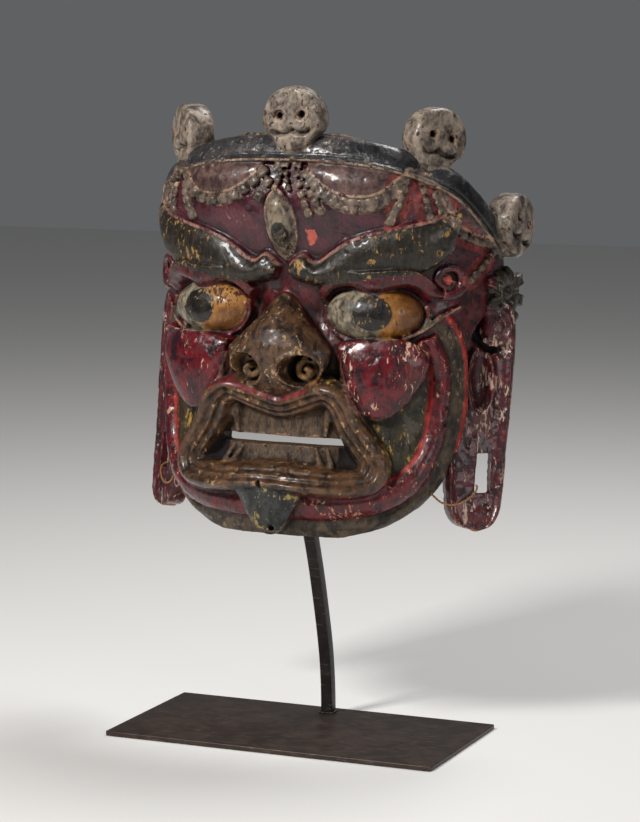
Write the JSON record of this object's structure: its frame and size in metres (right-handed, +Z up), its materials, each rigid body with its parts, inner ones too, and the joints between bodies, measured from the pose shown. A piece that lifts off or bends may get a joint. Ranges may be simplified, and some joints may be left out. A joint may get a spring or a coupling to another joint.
{
  "type": "tibetan cham mask",
  "caption": "Carved and painted wooden dance mask of a wrathful protector with a skull crown, open mouth and long ear lobes, held on a bent square bar and flat base plate.",
  "frame": {"origin": "centre of the base plate's underside", "axes": "+Z up, the mask's face looks along -Y, +X to the right of someone who looks at the face"},
  "size_m": [0.3986, 0.227, 0.6479],
  "materials": {
    "lacquered_wood": "old dark red, black and ochre lacquer over carved wood, glossy where handled, chipped, scratched and grimed",
    "bar_steel": "near black brown waxed steel bar with a small nick",
    "plate_steel": "dark brown patinated steel plate with a soft sheen and pale dust",
    "twine": "twisted golden brown plant fibre"
  },
  "bodies": {
    "root": {"mask": "lacquered_wood", "stand_bar": "bar_steel", "base_plate": "plate_steel", "ear_tie_right": "twine", "ear_tie_left": "twine"}
  },
  "joints": []
}
